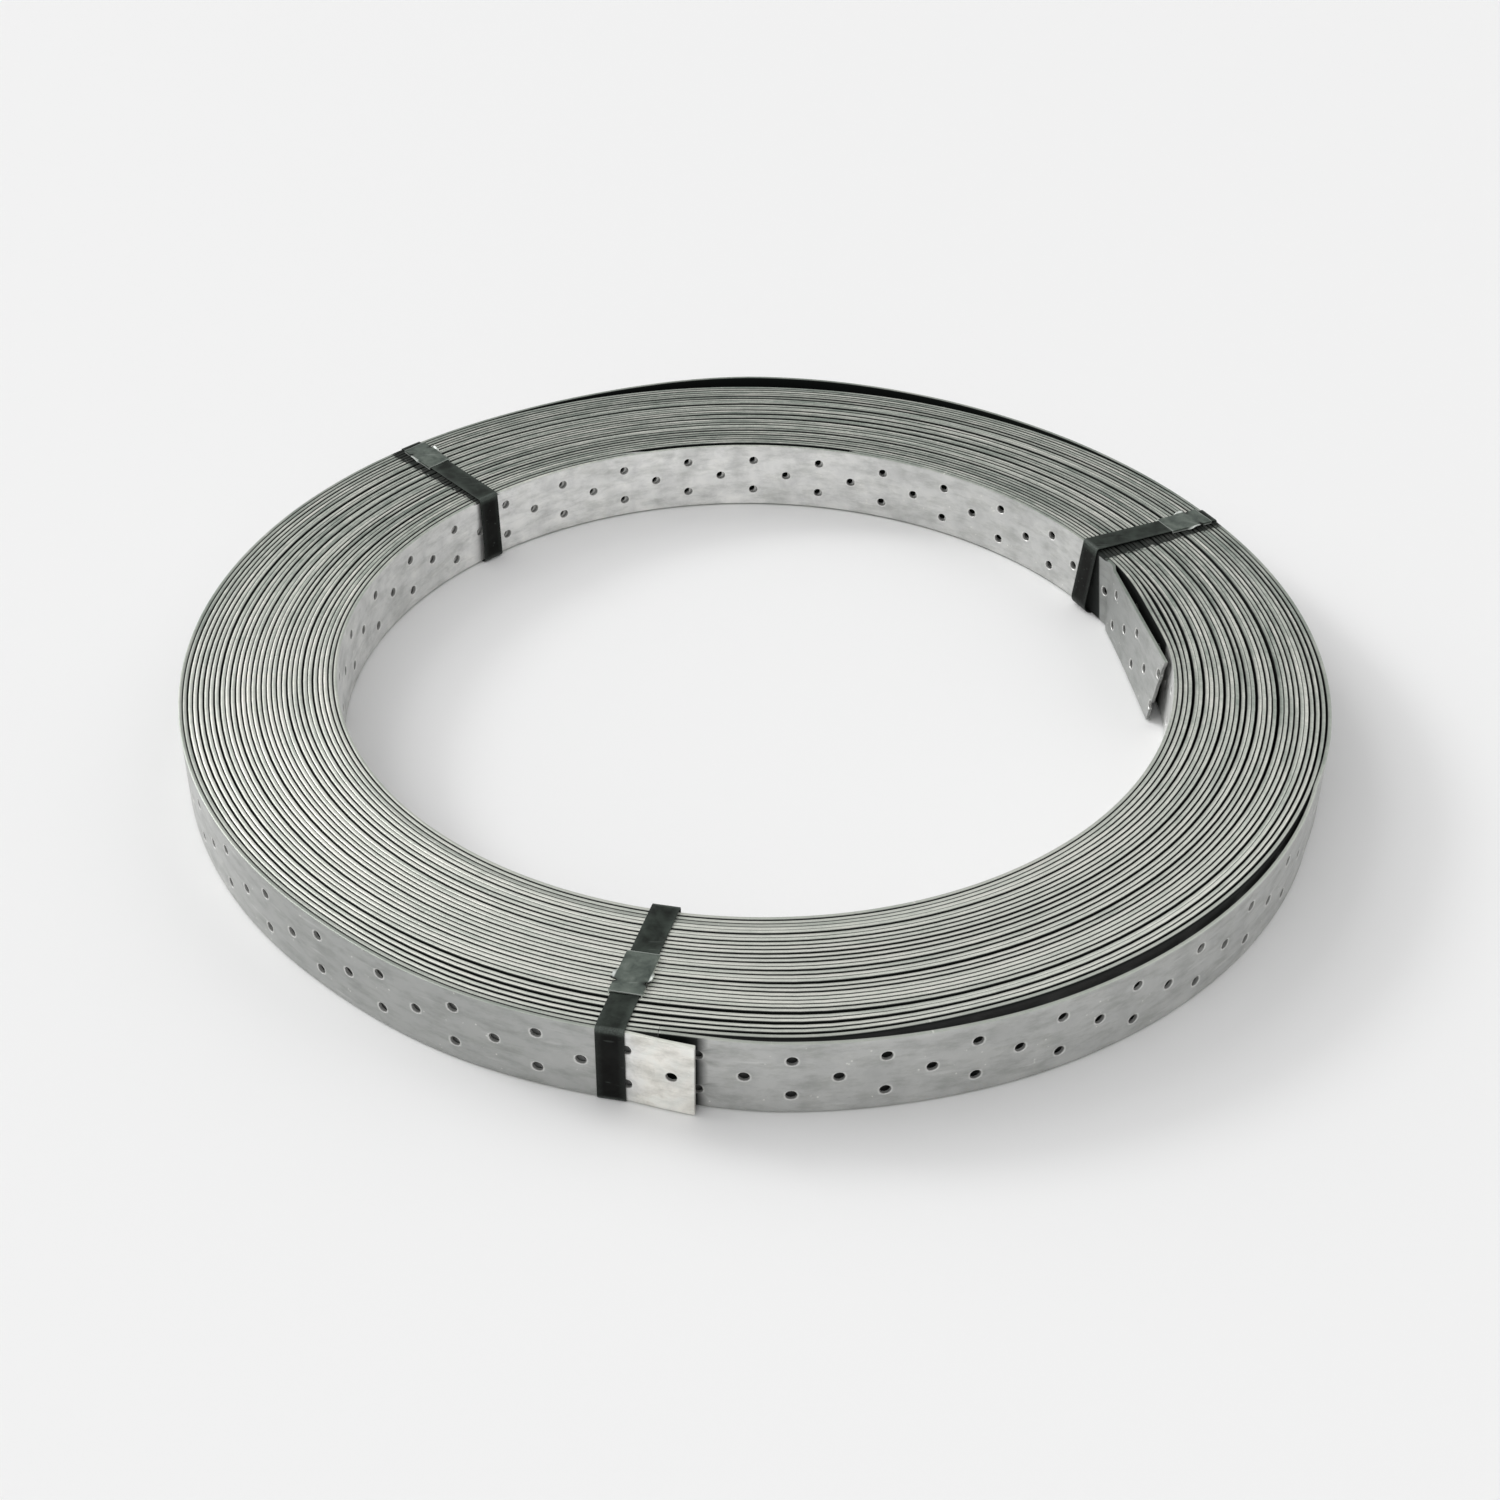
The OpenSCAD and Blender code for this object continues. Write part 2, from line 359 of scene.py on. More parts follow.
def wear_group():
    """Node group shared by the metals: cloudy patches, fine grain, thin scratches and small specks."""
    tree = bpy.data.node_groups.new("metal_wear", "ShaderNodeTree")
    tree.interface.new_socket("Position", in_out="INPUT", socket_type="NodeSocketVector")
    for name in ("Cloud size", "Grain size", "Scratch size"):
        tree.interface.new_socket(name, in_out="INPUT", socket_type="NodeSocketFloat")
    for name in ("Clouds", "Grain", "Scratches", "Specks"):
        tree.interface.new_socket(name, in_out="OUTPUT", socket_type="NodeSocketFloat")
    into, out = tree.nodes.new("NodeGroupInput"), tree.nodes.new("NodeGroupOutput")
    where = into.outputs["Position"]
    cloud = add_node(tree, "TexNoise", Vector=where, Scale=into.outputs["Cloud size"], Detail=5.0,
                     Roughness=0.6, Distortion=0.4)
    grain = add_node(tree, "TexNoise", Vector=where, Scale=into.outputs["Grain size"], Detail=2.0)
    stretched = add_node(tree, "Mapping", Vector=where, Scale=(0.12, 1.0, 1.0), Rotation=(0, 0, 0.12))
    lines = add_node(tree, "TexNoise", Vector=stretched.outputs[0], Scale=into.outputs["Scratch size"],
                     Detail=1.0)
    thin = add_node(tree, "MapRange", Value=lines.outputs[0], From_Min=0.66, From_Max=0.74)
    dots = add_node(tree, "TexVoronoi", Vector=where, Scale=into.outputs["Scratch size"])
    near = add_node(tree, "MapRange", Value=dots.outputs["Distance"], From_Min=0.16, From_Max=0.08)
    few = math_node(tree, "GREATER_THAN", cloud.outputs[0], 0.56)
    for name, value in (("Clouds", cloud.outputs[0]), ("Grain", grain.outputs[0]),
                        ("Scratches", thin.outputs[0]),
                        ("Specks", math_node(tree, "MULTIPLY", near.outputs[0], few))):
        tree.links.new(value, out.inputs[name])
    return tree


metal_wear = wear_group()


def wear(tree, position, cloud_size, grain_size, scratch_size):
    """Places the shared wear group in a material."""
    node = tree.nodes.new("ShaderNodeGroup")
    node.node_tree = metal_wear
    tree.links.new(position, node.inputs["Position"])
    for name, value in (("Cloud size", cloud_size), ("Grain size", grain_size),
                        ("Scratch size", scratch_size)):
        node.inputs[name].default_value = value
    return node.outputs


def lift(tree, height, strength, distance):
    node = add_node(tree, "Bump", Height=height, Strength=strength, Distance=distance)
    return node.outputs["Normal"]


def band_shadow_mask(tree, where, raggedness, angle, way, reach, taper=0):
    """A mask of painted shadow beside a band. way is 1 or -1 for the side it lies on, reach is how far
    from the band's middle line it goes at the top, and taper is how much less at each metre down.
    """
    side, out = polar(way, angle + 90), polar(1, angle)
    corner = AXIS + out * BORE_R + Vector((0, 0, STRAP_W))
    limits = []
    for direction, none, full in ((side - Vector((0, 0, taper)), reach, reach * 0.82),
                                  (side, -5 * MM, -1 * MM), (out, -30 * MM, -20 * MM)):
        node = add_node(tree, "VectorMath", Vector=where)
        node.operation = "DOT_PRODUCT"
        node.inputs[1].default_value = direction
        past = math_node(tree, "SUBTRACT", node.outputs["Value"], direction.dot(corner))
        past = math_node(tree, "ADD", past, raggedness)
        limits.append(add_node(tree, "MapRange", Value=past, From_Min=none, From_Max=full).outputs[0])
    return math_node(tree, "MULTIPLY", math_node(tree, "MULTIPLY", *limits[:2]), limits[2])


def zinc_face(tree, on_strap, clouds, dull):
    """The strap's flat faces: cloudy and neutral, smudged and mottled, with a painted highlight on the
    rim of each hole.
    """
    face = ramp(tree, clouds, (0.3, (0.73, 0.73, 0.72)), (0.5, (0.88, 0.88, 0.865)),
                (0.7, (1.0, 0.995, 0.97)))
    # A high dull mark makes the face darker, partly as painted shade; below 0 it makes it clean.
    face = blend(tree, dull, face, (0.33, 0.34, 0.33, 1))
    clean = ramp(tree, clouds, (0.38, (0.82, 0.8, 0.74)), (0.5, (1.0, 0.98, 0.92)),
                 (0.6, (1.0, 1.0, 0.95)))
    face = blend(tree, math_node(tree, "MULTIPLY", dull, -1.0), face, clean)
    smudge = add_node(tree, "TexNoise", Vector=on_strap, Scale=38.0, Detail=6.0, Distortion=0.4)
    smudged = add_node(tree, "MapRange", Value=smudge.outputs[0], From_Min=0.52, From_Max=0.68, To_Max=0.3)
    face = blend(tree, smudged.outputs[0], face, (0.42, 0.43, 0.41, 1))
    smeared = add_node(tree, "Mapping", Vector=on_strap, Scale=(0.45, 1.4, 1.0), Rotation=(0, 0, 0.3))
    mottle = add_node(tree, "TexNoise", Vector=smeared.outputs[0], Scale=110.0, Detail=7.0, Roughness=0.7)
    mottled = ramp(tree, mottle.outputs[0], (0.36, (0.66, 0.67, 0.65)), (0.54, (1.0, 1.0, 1.0)))
    face = blend(tree, 0.6, face, mottled, "MULTIPLY")
    # Painted highlight: a bright ring on the rim of each hole.
    rim = add_node(tree, "MapRange", Value=face_marks(tree, "rim"), From_Min=0.88, To_Max=0.5)
    return blend(tree, rim.outputs[0], face, (0.97, 0.97, 0.94, 1))


def zinc_edge(tree, where, on_strap, dull):
    """The strap's slit edges: greener, painted lighter in front and darker with more contrast at the
    back, as painted light and shade.
    """
    tone = add_node(tree, "TexNoise", Vector=on_strap, Scale=14.0, Detail=10.0, Roughness=0.78)
    shaded_back_edge = ramp(tree, tone.outputs[0], (0.36, (0.33, 0.39, 0.34)), (0.5, (0.66, 0.7, 0.63)),
                     (0.63, (1.0, 1.0, 0.92)))
    lit_front_edge = ramp(tree, tone.outputs[0], (0.3, (0.62, 0.67, 0.6)), (0.46, (0.84, 0.87, 0.79)),
                      (0.62, (1.0, 1.0, 0.92)))
    # Painted light and shade: the edges blend from the darker copy at the back to the lighter one in
    # front.
    painted_light_side = add_node(tree, "VectorMath", Vector=where)
    painted_light_side.operation = "DOT_PRODUCT"
    painted_light_side.inputs[1].default_value = (-0.2, -0.98, 0)
    front = add_node(tree, "MapRange", Value=painted_light_side.outputs["Value"], From_Min=-0.065, From_Max=0.15)
    edge = blend(tree, front.outputs[0], shaded_back_edge, lit_front_edge)
    # A high dull mark makes the edges darker, partly as painted shade.
    return blend(tree, math_node(tree, "MULTIPLY", dull, 0.8), edge, (0.2, 0.24, 0.21, 1))


def painted_band_shadow(tree, where, height, grain):
    """A mask of painted shadow beside the two back bands: ragged on top, and a thin one down the bore."""
    high = math_node(tree, "GREATER_THAN", height, COIL_TOP - 1.4 * MM)
    ragged = math_node(tree, "MULTIPLY", math_node(tree, "SUBTRACT", grain, 0.5), 9 * MM)
    on_top = math_node(tree, "MAXIMUM",
                       band_shadow_mask(tree, where, ragged, RIGHT_ANGLE, -1, 16 * MM),
                       band_shadow_mask(tree, where, ragged, LEFT_ANGLE, 1, 15.5 * MM))
    on_wall = band_shadow_mask(tree, where, 0.0, RIGHT_ANGLE, -1, 7.5 * MM, -0.2)
    band_shadow = math_node(tree, "MAXIMUM", math_node(tree, "MULTIPLY", on_top, high),
                     math_node(tree, "MULTIPLY", on_wall, math_node(tree, "SUBTRACT", 1.0, high)))
    return math_node(tree, "MULTIPLY", band_shadow, 0.96)


def zinc_finish():
    """Hot-dip zinc: neutral faces, greener slit edges, and painted shade as dark lines where turns meet.
    """
    material, tree, shader = new_material("galvanised_zinc")
    where = add_node(tree, "TexCoord").outputs["Object"]
    height = add_node(tree, "SeparateXYZ", Vector=where).outputs["Z"]
    along, dull, in_gap, slit_edge = (face_marks(tree, name)
                                      for name in ("along", "dull", "in_gap", "slit_edge"))
    on_strap = add_node(tree, "CombineXYZ", X=along, Y=height).outputs[0]
    marks = wear(tree, on_strap, 75, 900, 260)
    colour = blend(tree, slit_edge, zinc_face(tree, on_strap, marks["Clouds"], dull),
                   zinc_edge(tree, where, on_strap, dull))
    colour = blend(tree, math_node(tree, "MULTIPLY", marks["Scratches"], 0.15), colour,
                   (0.95, 0.95, 0.94, 1))
    colour = blend(tree, math_node(tree, "MULTIPLY", marks["Specks"], 0.45), colour, (0.98, 0.98, 0.93, 1))
    # Painted shade in the gaps and the holes and painted shadow beside the bands, near black.
    dark = math_node(tree, "MAXIMUM", in_gap, painted_band_shadow(tree, where, height, marks["Grain"]))
    colour = blend(tree, dark, colour, (0.008, 0.01, 0.009, 1))
    tree.links.new(colour, shader.inputs["Base Color"])
    rough = add_node(tree, "MapRange", Value=marks["Clouds"], To_Min=0.36, To_Max=0.52)
    tree.links.new(math_node(tree, "MAXIMUM", rough.outputs[0], dark), shader.inputs["Roughness"])
    metal = add_node(tree, "MapRange", Value=dark, To_Min=0.7, To_Max=0.0)
    tree.links.new(metal.outputs[0], shader.inputs["Metallic"])
    bumps = math_node(tree, "ADD", math_node(tree, "MULTIPLY", marks["Grain"], 0.12), marks["Clouds"])
    tree.links.new(lift(tree, bumps, 0.4, 0.6 * MM), shader.inputs["Normal"])
    shader.inputs["Specular IOR Level"].default_value = 0.15
    return material


zinc = zinc_finish()


def strap_piece(piece):
    piece.data.materials.append(zinc)
    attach(piece, "root")
    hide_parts("strap_coil")


strap_piece(turns)

# ---------------------------------------------------------------------------------------------------
# The outer lap: the strap's last turn, whose face and nail holes show. It leaves the tight turns
# under the front band, stands off them in three places, passes under the band again and ends in a
# tail that has sprung off. A flat strip is punched with 5 mm holes, cut, rounded and then bent.
HOLE_R = 2.5 * MM
HOLE_PITCH = 20 * MM
ROW_GAP = 10 * MM
RIM_ROUND = 0.3 * MM


def punch(bm, x, y):
    """Punches one hole: clears a block of the sheet, insets it and draws the inner loop to a circle."""
    block = [f for f in bm.faces
             if abs(f.calc_center_median().x - x) < HOLE_PITCH / 2
             and abs(f.calc_center_median().y - y) < ROW_GAP / 2]
    plate = bmesh.ops.dissolve_faces(bm, faces=block)["region"]
    bmesh.ops.inset_individual(bm, faces=plate, thickness=MM)
    for v in plate[0].verts:
        across, up = (v.co.x - x) / HOLE_PITCH, (v.co.y - y) / ROW_GAP
        if abs(across) >= abs(up):
            turn = 45 * up / across + (180 if across < 0 else 0)
        else:
            turn = 90 - 45 * across / up + (180 if up < 0 else 0)
        v.co = Vector((x, y, 0)) + polar(HOLE_R, turn)
    bmesh.ops.delete(bm, geom=plate, context="FACES_ONLY")


def punched_tile():
    """Two columns of holes in a sheet as wide as the strap: a pair, then a single hole."""
    bm = bmesh.new()
    bmesh.ops.create_grid(bm, x_segments=8, y_segments=16, size=0.5)
    bmesh.ops.scale(bm, vec=(2 * HOLE_PITCH, STRAP_W, 1), verts=bm.verts[:])
    for x, y in ((-HOLE_PITCH / 2, ROW_GAP), (-HOLE_PITCH / 2, -ROW_GAP), (HOLE_PITCH / 2, 0)):
        punch(bm, x, y)
    mesh = bpy.data.meshes.new("punched_tile")
    bm.to_mesh(mesh)
    bm.free()
    return mesh


tile = punched_tile()


def is_corner(edge):
    return edge.calc_face_angle(0) > 1


def on_slit_edge(edge):
    return all(abs(abs(v.co.y) - STRAP_W / 2) < TOLERANCE for v in edge.verts)


def thicken(bm, thickness):
    """Gives a flat sheet its thickness, upwards."""
    top = bmesh.ops.extrude_face_region(bm, geom=bm.faces[:], use_keep_orig=True)["geom"]
    bmesh.ops.translate(bm, vec=(0, 0, thickness),
                        verts=[g for g in top if isinstance(g, bmesh.types.BMVert)])
    bmesh.ops.recalc_face_normals(bm, faces=bm.faces[:])


def mark_rims(bm, first_pair):
    """Records which points lie on the rim of a hole."""
    rim = bm.verts.layers.float.new("rim")
    for v in bm.verts:
        column = (v.co.x - first_pair + HOLE_PITCH / 2) % (2 * HOLE_PITCH) - HOLE_PITCH / 2
        if column < HOLE_PITCH / 2:
            from_middle = math.hypot(column, abs(v.co.y) - ROW_GAP)
        else:
            from_middle = math.hypot(column - HOLE_PITCH, v.co.y)
        v[rim] = from_middle < HOLE_R + 1.2 * RIM_ROUND


def punched_strip(length, first_pair, slant=0, ragged=0):
    """A flat strip of the strap from x = 0 to its length. first_pair is where a column of two lies,
    slant is how far the cut at x = 0 leans, and ragged how far it waves.
    """
    bm = bmesh.new()
    start = first_pair + HOLE_PITCH / 2
    while start > HOLE_PITCH:
        start -= 2 * HOLE_PITCH
    while start < length + HOLE_PITCH:
        old = set(bm.verts)
        bm.from_mesh(tile)
        bmesh.ops.translate(bm, vec=(start, 0, 0), verts=[v for v in bm.verts if v not in old])
        start += 2 * HOLE_PITCH
    bmesh.ops.remove_doubles(bm, verts=bm.verts[:], dist=TOLERANCE)
    for place, way, lean in ((0, -1, slant), (length, 1, 0)):
        geom = bm.verts[:] + bm.edges[:] + bm.faces[:]
        bmesh.ops.bisect_plane(bm, geom=geom, plane_co=(place + lean / 2, 0, 0),
                               plane_no=(way * STRAP_W, way * lean, 0), clear_outer=True)
    for v in bm.verts:
        v.co.x += ragged * math.sin(v.co.y / (1.7 * MM)) * max(0, 1 - v.co.x / HOLE_R)
    thicken(bm, STRAP_T)
    rims = [e for e in bm.edges if is_corner(e) and not on_slit_edge(e)
            and abs(e.verts[0].co.z - e.verts[1].co.z) < TOLERANCE]
    round_off(bm, rims, RIM_ROUND, 1)
    round_off(bm, [e for e in bm.edges if is_corner(e) and on_slit_edge(e)], EDGE_ROUND, 2)
    mark_rims(bm, first_pair)
    return bm


def bend_strip(name, bm, path, hidden, dullness_and_shade_at):
    """Bends a flat strip: path(x) gives the inner face's point, its outward direction and its lean."""
    mark_faces(bm, [(v.co.x, v.co.y + STRAP_W / 2, v.co.z) for v in bm.verts], hidden, dullness_and_shade_at)
    for v in bm.verts:
        x, across, depth = v.co
        point, out, rise, lean = path(x)
        low = 0.5 - across / STRAP_W
        v.co = AXIS + point + out * (depth + lean * low) + Vector((0, 0, across + STRAP_W / 2 + rise))
    return finish_mesh(name, bm)


def follow(radius_at, angle_at, lean_at=lambda angle: 0):
    """A path whose inner face lies at radius_at(angle)."""
    def path(x):
        angle = angle_at(x)
        here = polar(radius_at(angle), angle)
        along = polar(radius_at(angle + 0.5), angle + 0.5) - polar(radius_at(angle - 0.5), angle - 0.5)
        return here, Vector((along.y, -along.x, 0)).normalized(), edge_rise(angle), lean_at(angle)
    return path


LAP_GAP = 0.3 * MM
LAP_CLIMB = 10
LAP_MID_R = TURNS_R + STRAP_T / 2

# The tail springs off from TAIL_START, counted from the lap's start, to its end at TAIL_R. It is
# TAIL_L long, from the edge of the front band.
BAND_W = 13 * MM
TAIL_L = 27 * MM
TAIL_START = 357.6
TAIL_R = 303.8 * MM
LAP_END = FRONT_ANGLE + 720 - LAP_START + math.degrees(math.asin(BAND_W / 2 / TURNS_R) + TAIL_L / TURNS_R)

# Each slack as (start, peak, end, height, power of the rise, power of the fall), with the angles
# counted from the lap's start.
SLACKS = ((0, 32, 74.5, 5.4 * MM, 1.65, 0.8), (74.5, 86, 122, 0.8 * MM, 1, 1.6),
          (122.5, 187.5, 230, 12 * MM, 2, 2.4))


def slack(past):
    """How far the lap stands off the tight turns, at an angle past its start."""
    total = 0
    for start, peak, end, height, rise, fall in SLACKS:
        if start < past < peak:
            total += height * math.sin(math.pi / 2 * ((past - start) / (peak - start)) ** rise)
        elif peak <= past < end:
            total += height * math.sin(math.pi / 2 * ((end - past) / (end - peak)) ** fall)
    return total


def lap_r(angle):
    """Radius of the lap's inner face, from its climb out of the tight turns to the end of the tail."""
    past = angle - LAP_FIRST
    climb = (STRAP_T + LAP_GAP) * smooth(1 - past / LAP_CLIMB)
    on_tail = max(0, (past - TAIL_START) / (LAP_END - TAIL_START))
    sprung = (TAIL_R - TURNS_R - LAP_GAP - SWELL) * on_tail
    return TURNS_R + LAP_GAP - climb + slack(past) + swell(angle) + sprung


def lap_shade_and_clean_tail(length):
    """The lap is painted darker than the turns inside it, and darker still at the front left, as
    painted shade, but the tail is clean.
    """
    angle = math.degrees(length / LAP_MID_R)
    tail = LAP_END - 5.5 - angle
    left = patch(angle + LAP_START, 237, 20, 1.5)
    return (0.61 + 0.2 * left) * smooth(tail) - 0.9 * smooth(-tail)


def under_tail(length):
    """The first stretch of the lap is painted dark, as the shade of the tail."""
    shade = smooth((LAP_END - 360 - math.degrees(length / LAP_MID_R)) * 1.2 + 0.9)
    return shade, shade, EDGE_ROUND


lap_length = math.radians(LAP_END) * LAP_MID_R
# The lap's inner face is painted dark as shade, and its outer face too under the tail.
lap = bend_strip("outer_lap", punched_strip(lap_length, lap_length - 1.5 * HOLE_PITCH),
                 follow(lap_r, lambda x: LAP_FIRST + math.degrees(x / LAP_MID_R)),
                 {"inner": shut, "outer": under_tail}, lap_shade_and_clean_tail)
strap_piece(lap)

# ---------------------------------------------------------------------------------------------------
# The turn under the lap: the outermost of the tight turns, in the same zinc. It is a punched strip
# like the lap, because it shows in the lap's slack and through its holes.
UNDER_MID_R = TURNS_R - STRAP_T / 2
# Its outer face is painted dark as shade where it shows in the lap's slack and through its holes.
under = bend_strip("turn_under_lap", punched_strip(math.tau * UNDER_MID_R, 7 * MM),
                   follow(turn_r, lambda x: LAP_FIRST - 360 + math.degrees(x / UNDER_MID_R)),
                   {"inner": shut, "outer": even_shade(1, 0.75)}, lambda length: 0.5)
strap_piece(under)

# ---------------------------------------------------------------------------------------------------
# The strap's straight inner end: a punched strip that lies across the bore like a chord and leans in
# at its foot. It was snipped off by hand at a slope, through a hole.
CHORD_MID = 10
CHORD_HALF = 12.5
CHORD_LEAN = 4.5 * MM
CHORD_FREE = CHORD_MID - CHORD_HALF - 0.4
CHORD_R = turn_r(BEND_END) * math.cos(math.radians(CHORD_HALF))


def inner_r(angle):
    """Radius of the straight end's inner face, and of the first turn that it bends into."""
    if angle > BEND_END:
        return turn_r(angle)
    return CHORD_R / math.cos(math.radians(angle - CHORD_MID)) - STRAP_T


def inner_lean(angle):
    return -CHORD_LEAN * max(0, (BEND_END - angle) / (BEND_END - CHORD_FREE)) ** 1.5


end_length = math.radians(RIGHT_ANGLE - CHORD_FREE) * BORE_R
# Its outer face, against the bore turn, is painted dark as shade.
inner_end = bend_strip("inner_end", punched_strip(end_length, 3.5 * MM, 4 * MM, 0.6 * MM),
                       follow(inner_r, lambda x: CHORD_FREE + math.degrees(x / BORE_R), inner_lean),
                       {"outer": shut}, lambda length: 0.75 + 0.35 * length / end_length)
strap_piece(inner_end)

# ---------------------------------------------------------------------------------------------------
# The turn that lines the bore, another punched strip. Its face is clean at the back and duller in
# front, where it is painted darker from the back left on as shade, and it is painted dark as shade
# where it passes behind the straight end.


def behind_end(length):
    """The turn is painted dark as shade where the straight end hides it."""
    shade = smooth((RIGHT_ANGLE + math.degrees(length / BORE_R) - 359.5) / 2)
    return shade, shade, EDGE_ROUND


# Duller near the right band, and darker from the back left on as painted shade.
def bore_dullness_and_shade(length):
    angle = RIGHT_ANGLE + math.degrees(length / BORE_R)
    return 0.3 * smooth((angle - 135) / 20) + 0.45 * smooth((100 - angle) / 60)


bore_turn = bend_strip("bore_turn", punched_strip(math.tau * BORE_R, 35.2 * MM),
                       follow(turn_r, lambda x: RIGHT_ANGLE + math.degrees(x / BORE_R)),
                       {"outer": shut, "inner": behind_end}, bore_dullness_and_shade)
strap_piece(bore_turn)

# ---------------------------------------------------------------------------------------------------
# The second turn, whose face and holes show through the holes of the bore turn. A joint in it at the
# back, where its two punched strips meet, has left its edge low from there on.
JOINT_ANGLE = 75.3
JOINT_LENGTH = math.radians(JOINT_ANGLE - RIGHT_ANGLE) * BORE_R
SECOND_PAIR = 37 * MM
LOW_W = 7 * MM
LOW_L = 100 * MM
LOW_FADE = 40 * MM


def second_piece(name, start, length, low):
    """A stretch of the second turn. low is how far its upper edge is pressed down at its start."""
    bm = punched_strip(length, SECOND_PAIR - start)
    for v in bm.verts:
        near_top = max(0, (v.co.y - STRAP_W / 2 + LOW_W) / LOW_W)
        v.co.y -= low * near_top * smooth(1 - (v.co.x - LOW_L) / LOW_FADE)
    first_angle = 360 + RIGHT_ANGLE + math.degrees(start / BORE_R)
    # The inner face is painted dark as shade at its edges and lightly further in; the outer face fully.
    strap_piece(bend_strip(name, bm, follow(turn_r, lambda x: first_angle + math.degrees(x / BORE_R)),
                           {"inner": even_shade(1, 0.2), "outer": shut}, lambda along: 0.2))


second_piece("second_turn_start", 0, JOINT_LENGTH, 0)
second_piece("second_turn", JOINT_LENGTH, math.tau * BORE_R - JOINT_LENGTH, 3 * MM)

# ---------------------------------------------------------------------------------------------------
# Packing bands: black-varnished steel band, 13 x 0.5 mm, pulled round the coil's section and bent
# sharply at its corners. The two ends lie one on the other on top, inside the seal.
BAND_T = 0.5 * MM
SEAT = 0.3 * MM
LAP_CLEAR = 0.05 * MM
BAND_BEND = 0.9 * MM
BAND_STEPS = 420
SEAL_L = 27 * MM


def wall_r(angle):
    """Radius of the coil's outer wall."""
    return lap_r(LAP_FIRST + (angle - LAP_START) % 360) + STRAP_T


def runs_round(corners, bends):
    """A strip pulled round corners, as straight runs and bends: (length, start, direction, curve).

    curve is 1 over the radius of a bend, less than 0 where it turns to the left, and 0 on a run.
    """
    runs, start = [], corners[0]
    for before, corner, after, bend in zip(corners[:-2], corners[1:-1], corners[2:], bends):
        there, on = (corner - before).normalized(), (after - corner).normalized()
        turn = there.angle_signed(on)
        reach = bend * math.tan(abs(turn) / 2)
        bend_start = corner - there * reach
        runs.append(((bend_start - start).length, start, there, 0))
        runs.append((bend * abs(turn), bend_start, there, math.copysign(1 / bend, turn)))
        start = corner + on * reach
    last = corners[-1] - start
    runs.append((last.length, start, last.normalized(), 0))
    return runs


def along_runs(runs, length):
    """Point and direction at a length along the runs."""
    run = 0
    while length > runs[run][0] and run < len(runs) - 1:
        length -= runs[run][0]
        run += 1
    _, start, way, curve = runs[run]
    if curve == 0:
        return start + way * length, way
    to_middle = Vector((way.y, -way.x)) / curve
    turned = Matrix.Rotation(-length * curve, 2)
    return start + to_middle - turned @ to_middle, turned @ way


def plain_strip(length, width, thickness, steps, rounding):
    """A flat strip along x, centred across y, lying on z = 0."""
    bm = bmesh.new()
    bmesh.ops.create_grid(bm, x_segments=steps, y_segments=4, size=0.5)
    bmesh.ops.scale(bm, vec=(length, width, 1), verts=bm.verts[:])
    bmesh.ops.translate(bm, vec=(length / 2, 0, 0), verts=bm.verts[:])
    thicken(bm, thickness)
    round_off(bm, [e for e in bm.edges if is_corner(e)], rounding, 1)
    return bm


def on_band(angle, drift, r, across, z):
    """A place on a band that lies askew: drift is how far it is off to the side at its two ends."""
    off = drift[0] + (drift[1] - drift[0]) * min(1, max(0, (r - BORE_R) / (TURNS_R - BORE_R)))
    return Vector((AXIS.x, AXIS.y, z)) + polar(r, angle) + polar(across + off, angle + 90)


def band_runs(outer_wall, seal_r, stand_off, lift_off):
    """The runs of a band in its own plane, from its lower end in the seal round the coil's section to
    its upper end, which lies on top. The foot stands off the bore and the bend above it lifts off.
    """
    inner_wall = math.sqrt((BORE_R - SEAT) ** 2 - (BAND_W / 2) ** 2)
    low, high = BAND_T, COIL_TOP + SEAT
    corners = [Vector(corner) for corner in (
        (seal_r + SEAL_L / 3, high), (inner_wall, high + lift_off), (inner_wall - stand_off, low),
        (outer_wall, low), (outer_wall, high), (seal_r - SEAL_L / 3, high))]
    return runs_round(corners, (BAND_BEND, BAND_BEND + stand_off, BAND_BEND, BAND_BEND))


def packing_band(node, angle, drift, seal_inset, stand_off, lift_off):
    """Bends a flat strip along a band's runs, with its last end raised onto the first."""
    outer_wall = wall_r(angle) + SEAT
    seal_r = outer_wall - seal_inset
    runs = band_runs(outer_wall, seal_r, stand_off, lift_off)
    length = sum(run[0] for run in runs)
    lapped = length - SEAL_L * 2 / 3
    bm = plain_strip(length, BAND_W, BAND_T, BAND_STEPS, 0.12 * MM)
    slit_edge, bent = [bm.verts.layers.float.new(layer) for layer in ("slit_edge", "bent")]
    for v in bm.verts:
        x, across, depth = v.co
        point, way = along_runs(runs, x)
        before, after = (along_runs(runs, min(length, max(0, x + off)))[1] for off in (-MM, MM))
        v[slit_edge] = max(0, 1 - (BAND_W / 2 - abs(across)) / (0.3 * MM))
        v[bent] = min(1, before.angle(after))
        over = (BAND_T + LAP_CLEAR) * smooth((x - lapped + 3 * MM) / (5 * MM))
        r, z = point + Vector((way.y, -way.x)) * depth
        v.co = on_band(angle, drift, r, across, z + over)
    piece = finish_mesh(node + "_strip", bm)
    piece.data.materials.append(varnish)
    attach(piece, "root")
    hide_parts(node)
    return seal_r


